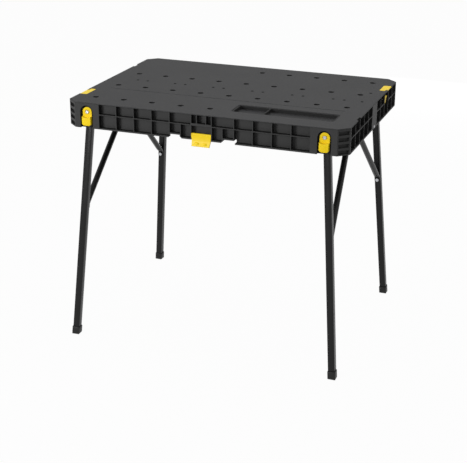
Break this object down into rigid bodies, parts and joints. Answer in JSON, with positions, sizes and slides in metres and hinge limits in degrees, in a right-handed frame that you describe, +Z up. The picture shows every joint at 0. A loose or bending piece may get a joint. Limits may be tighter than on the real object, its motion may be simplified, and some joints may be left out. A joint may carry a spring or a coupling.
{
  "type": "folding workbench",
  "caption": "Folding workbench with a ribbed plastic top, dog holes, a sunk parts tray and splayed, braced square legs that fold in under it.",
  "frame": {"origin": "on the floor under the middle of the top", "axes": "+X to the right seen from the front, front towards -Y, +Z up"},
  "size_m": [0.8587, 0.6724, 0.747],
  "materials": {
    "deck_plastic": "fine grained",
    "skirt_plastic": "fine grained",
    "leg_steel": "black powder coat",
    "foot_rubber": "matt",
    "bright_steel": "zinc plated",
    "black_steel": "black paint",
    "yellow_plastic": "satin"
  },
  "bodies": {
    "tabletop": {"deck": "deck_plastic", "skirt_frame": "skirt_plastic", "brace_bracket_left": "black_steel", "brace_bracket_right": "black_steel", "leg_bracket_front_left": "black_steel", "leg_pivot_pin_front_left": "bright_steel", "brace_pivot_pin_front_left": "bright_steel", "latch_screw_front_left": "bright_steel", "leg_bracket_front_right": "black_steel", "leg_pivot_pin_front_right": "bright_steel", "brace_pivot_pin_front_right": "bright_steel", "latch_screw_front_right": "bright_steel", "leg_bracket_back_left": "black_steel", "leg_pivot_pin_back_left": "bright_steel", "brace_pivot_pin_back_left": "bright_steel", "latch_screw_back_left": "bright_steel", "leg_bracket_back_right": "black_steel", "leg_pivot_pin_back_right": "bright_steel", "brace_pivot_pin_back_right": "bright_steel", "latch_screw_back_right": "bright_steel", "link_plate_pin_left": "bright_steel", "link_hook_pin_left": "bright_steel", "link_plate_pin_right": "bright_steel", "link_hook_pin_right": "bright_steel", "front_flap_pin": "bright_steel"},
    "leg_frame_front_left": {"leg_front_left": "leg_steel", "brace_front_left": "leg_steel", "brace_bolt_front_left": "bright_steel", "foot_cap_front_left": "foot_rubber"},
    "latch_front_left": {"leg_latch_front_left": "yellow_plastic", "lock_pin_front_left": "bright_steel"},
    "leg_frame_front_right": {"leg_front_right": "leg_steel", "brace_front_right": "leg_steel", "brace_bolt_front_right": "bright_steel", "foot_cap_front_right": "foot_rubber"},
    "latch_front_right": {"leg_latch_front_right": "yellow_plastic", "lock_pin_front_right": "bright_steel"},
    "leg_frame_back_left": {"leg_back_left": "leg_steel", "brace_back_left": "leg_steel", "brace_bolt_back_left": "bright_steel", "foot_cap_back_left": "foot_rubber"},
    "latch_back_left": {"leg_latch_back_left": "yellow_plastic", "lock_pin_back_left": "bright_steel"},
    "leg_frame_back_right": {"leg_back_right": "leg_steel", "brace_back_right": "leg_steel", "brace_bolt_back_right": "bright_steel", "foot_cap_back_right": "foot_rubber"},
    "latch_back_right": {"leg_latch_back_right": "yellow_plastic", "lock_pin_back_right": "bright_steel"},
    "link_leaf_left": {"link_plate_left": "yellow_plastic"},
    "link_tongue_left": {"link_hook_left": "yellow_plastic"},
    "link_leaf_right": {"link_plate_right": "yellow_plastic"},
    "link_tongue_right": {"link_hook_right": "yellow_plastic"},
    "flap": {"front_flap": "yellow_plastic"}
  },
  "joints": [
    {"name": "fold_front_left", "type": "hinge", "parent": "tabletop", "child": "leg_frame_front_left", "pos_m": [-0.36286, -0.27189, 0.697], "axis": [0.0401, -0.9963, 0.076], "range_deg": [0, 94.6]},
    {"name": "fold_front_right", "type": "hinge", "parent": "tabletop", "child": "leg_frame_front_right", "pos_m": [0.36107, -0.27018, 0.72], "axis": [0, 0.9929, -0.119], "range_deg": [0, 94.7]},
    {"name": "fold_back_left", "type": "hinge", "parent": "tabletop", "child": "leg_frame_back_left", "pos_m": [-0.36286, 0.27189, 0.697], "axis": [-0.0401, -0.9963, -0.076], "range_deg": [0, 94.6]},
    {"name": "fold_back_right", "type": "hinge", "parent": "tabletop", "child": "leg_frame_back_right", "pos_m": [0.36107, 0.27018, 0.72], "axis": [0, 0.9929, 0.119], "range_deg": [0, 94.7]},
    {"name": "rock_front_left", "type": "hinge", "parent": "tabletop", "child": "latch_front_left", "pos_m": [-0.3613, -0.2954, 0.718], "axis": [-1, 0, 0], "range_deg": [0, 8], "stiffness_Nm_per_rad": 0.5},
    {"name": "rock_front_right", "type": "hinge", "parent": "tabletop", "child": "latch_front_right", "pos_m": [0.3613, -0.2954, 0.718], "axis": [-1, 0, 0], "range_deg": [0, 8], "stiffness_Nm_per_rad": 0.5},
    {"name": "rock_back_left", "type": "hinge", "parent": "tabletop", "child": "latch_back_left", "pos_m": [-0.3613, 0.2954, 0.718], "axis": [1, 0, 0], "range_deg": [0, 8], "stiffness_Nm_per_rad": 0.5},
    {"name": "rock_back_right", "type": "hinge", "parent": "tabletop", "child": "latch_back_right", "pos_m": [0.3613, 0.2954, 0.718], "axis": [1, 0, 0], "range_deg": [0, 8], "stiffness_Nm_per_rad": 0.5},
    {"name": "flip_left", "type": "hinge", "parent": "tabletop", "child": "link_leaf_left", "pos_m": [-0.4256, -0.182, 0.7444], "axis": [0, -1, 0], "range_deg": [0, 180]},
    {"name": "swing_left", "type": "hinge", "parent": "tabletop", "child": "link_tongue_left", "pos_m": [-0.422, -0.1495, 0.727], "axis": [0, 1, 0], "range_deg": [0, 90]},
    {"name": "flip_right", "type": "hinge", "parent": "tabletop", "child": "link_leaf_right", "pos_m": [0.4256, 0.182, 0.7444], "axis": [0, 1, 0], "range_deg": [0, 180]},
    {"name": "swing_right", "type": "hinge", "parent": "tabletop", "child": "link_tongue_right", "pos_m": [0.422, 0.1495, 0.727], "axis": [0, -1, 0], "range_deg": [0, 90]},
    {"name": "swing_flap", "type": "hinge", "parent": "tabletop", "child": "flap", "pos_m": [0, -0.2995, 0.687], "axis": [1, 0, 0], "range_deg": [0, 80]}
  ]
}
